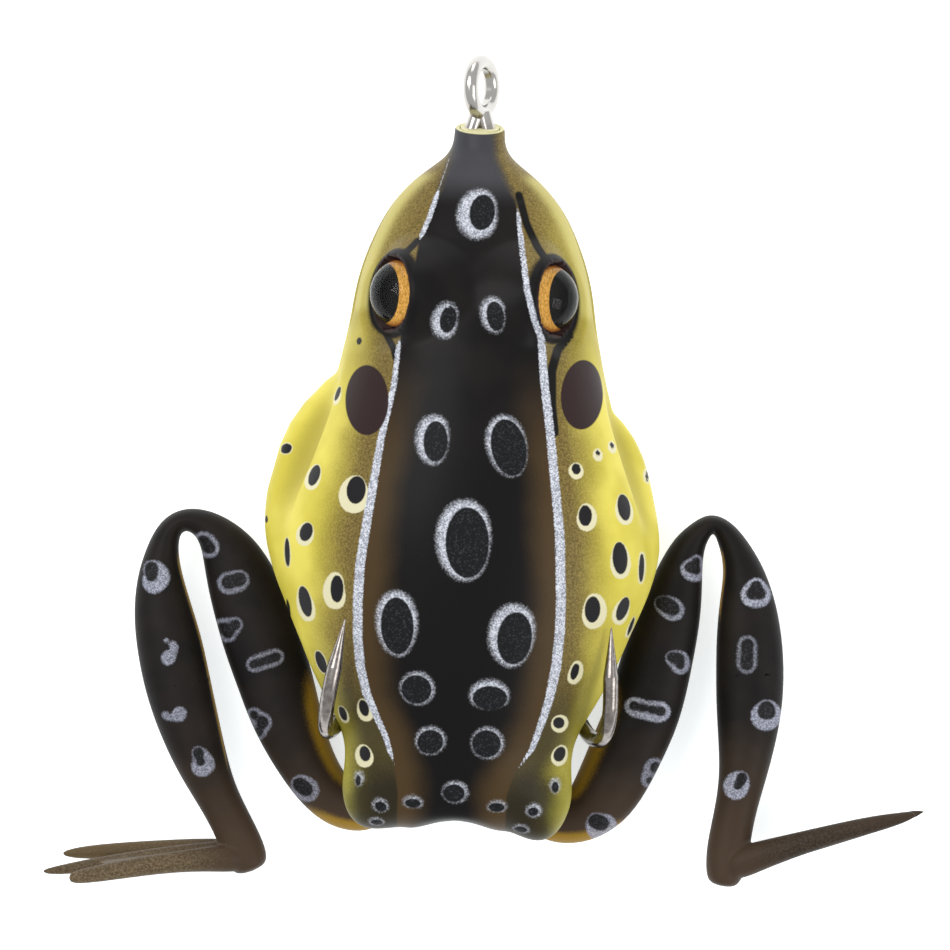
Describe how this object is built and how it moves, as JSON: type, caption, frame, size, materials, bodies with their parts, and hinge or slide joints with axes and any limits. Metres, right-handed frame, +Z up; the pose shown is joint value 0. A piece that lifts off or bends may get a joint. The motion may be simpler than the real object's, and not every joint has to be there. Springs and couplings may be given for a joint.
{
  "type": "hollow topwater frog lure",
  "caption": "Frog-shaped hollow soft topwater lure with a wire line-tie eye, twin upturned hooks hugging the flanks, domed eyes and spring-folding jointed legs with webbed feet.",
  "frame": {"origin": "centre of the line-tie eye at the nose", "axes": "+Y out of the nose along the body, +X to the lure's right, +Z up out of the back"},
  "size_m": [0.0756, 0.0723, 0.0218],
  "materials": {
    "soft_body": "satin soft vinyl, black back over yellow-green flanks with silver airbrushed rings",
    "cream_plug": "matt cream potting",
    "hook_wire": "dark nickel plate",
    "keel_brass": "turned brass",
    "iris_foil": "printed gold foil",
    "eye_lens": "clear epoxy dome",
    "soft_leg": "satin soft vinyl, near black with pale blotches, brown to the feet"
  },
  "bodies": {
    "lure_body": {"body_shell": "soft_body", "nose_plug": "cream_plug", "double_hook": "hook_wire", "keel_weight": "keel_brass", "left_eye_foil": "iris_foil", "left_eye_dome": "eye_lens", "right_eye_foil": "iris_foil", "right_eye_dome": "eye_lens"},
    "left_thigh": {"left_thigh": "soft_leg"},
    "left_shin": {"left_shin": "soft_leg"},
    "left_foot": {"left_foot": "soft_leg"},
    "right_thigh": {"right_thigh": "soft_leg"},
    "right_shin": {"right_shin": "soft_leg"},
    "right_foot": {"right_foot": "soft_leg"}
  },
  "joints": [
    {"name": "left_hip", "type": "hinge", "parent": "lure_body", "child": "left_thigh", "pos_m": [-0.00692, -0.0603, -0.00782], "axis": [0, 0, 1], "range_deg": [0, 122.5], "stiffness_Nm_per_rad": 0.00025},
    {"name": "left_knee", "type": "hinge", "parent": "left_thigh", "child": "left_shin", "pos_m": [-0.02372, -0.0384, -0.00782], "axis": [0, 0, 1], "range_deg": [-143.1, 0], "stiffness_Nm_per_rad": 0.00012},
    {"name": "left_ankle", "type": "hinge", "parent": "left_shin", "child": "left_foot", "pos_m": [-0.0174, -0.06691, -0.00782], "axis": [0, 0, 1], "range_deg": [0, 76.4], "stiffness_Nm_per_rad": 0.00012},
    {"name": "right_hip", "type": "hinge", "parent": "lure_body", "child": "right_thigh", "pos_m": [0.00692, -0.0603, -0.00782], "axis": [0, 0, -1], "range_deg": [0, 129.5], "stiffness_Nm_per_rad": 0.00025},
    {"name": "right_knee", "type": "hinge", "parent": "right_thigh", "child": "right_shin", "pos_m": [0.02093, -0.03652, -0.00782], "axis": [0, 0, -1], "range_deg": [-133.6, 0], "stiffness_Nm_per_rad": 0.00012},
    {"name": "right_ankle", "type": "hinge", "parent": "right_shin", "child": "right_foot", "pos_m": [0.02296, -0.06565, -0.00782], "axis": [0, 0, -1], "range_deg": [0, 83.3], "stiffness_Nm_per_rad": 0.00012}
  ],
  "couplings": [
    {"joint": "left_knee", "follows": "left_hip", "ratio": -1.1673},
    {"joint": "left_ankle", "follows": "left_hip", "ratio": 0.6229},
    {"joint": "right_knee", "follows": "right_hip", "ratio": -1.0309},
    {"joint": "right_ankle", "follows": "right_hip", "ratio": 0.6425}
  ]
}
